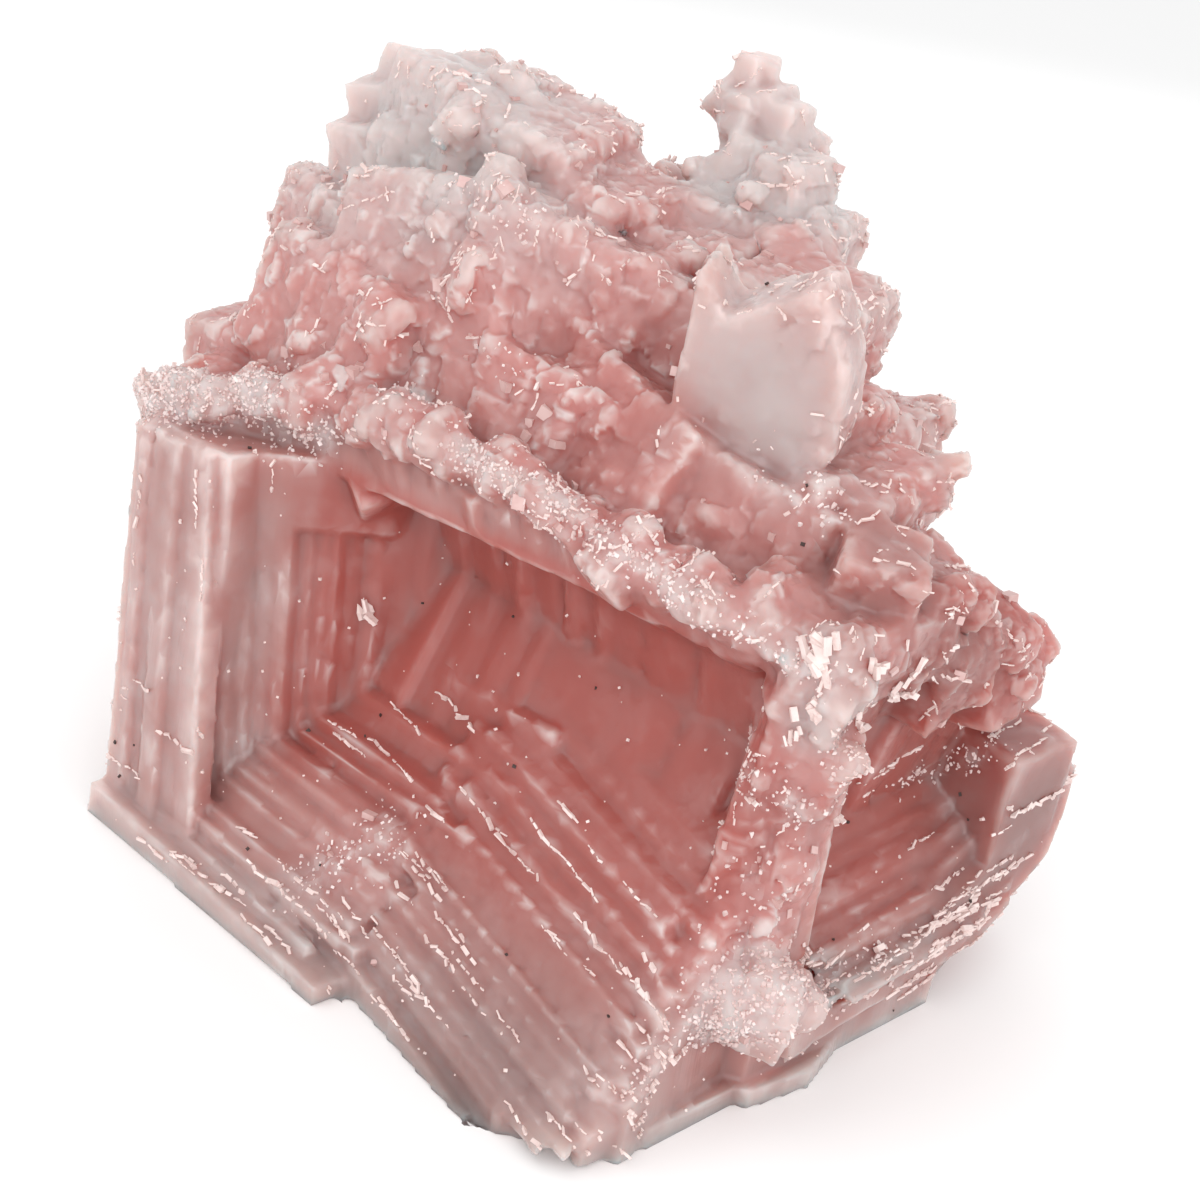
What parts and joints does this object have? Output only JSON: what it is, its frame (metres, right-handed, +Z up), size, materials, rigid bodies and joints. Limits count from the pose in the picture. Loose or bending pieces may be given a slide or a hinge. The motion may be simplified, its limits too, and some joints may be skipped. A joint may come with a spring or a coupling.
{
  "type": "halite crystal cluster",
  "caption": "Pink hopper halite: a terraced skeletal salt cube with a crusted ridge, grown together with a rough mass of smaller cubes; stands on its flat foot.",
  "frame": {"origin": "on the surface the crystal stands on, under the middle of its bounding box", "axes": "+Z up; +X to the right and +Y to the back when the main terraced funnel faces the viewer (-Y)"},
  "size_m": [0.0748, 0.0584, 0.0654],
  "materials": {
    "halite": "milky translucent pink rock salt, waxy, deep salmon where thick and greyish pale pink at rims, with white sugary salt crust"
  },
  "bodies": {
    "root": {"halite_crystal": "halite"}
  },
  "joints": []
}
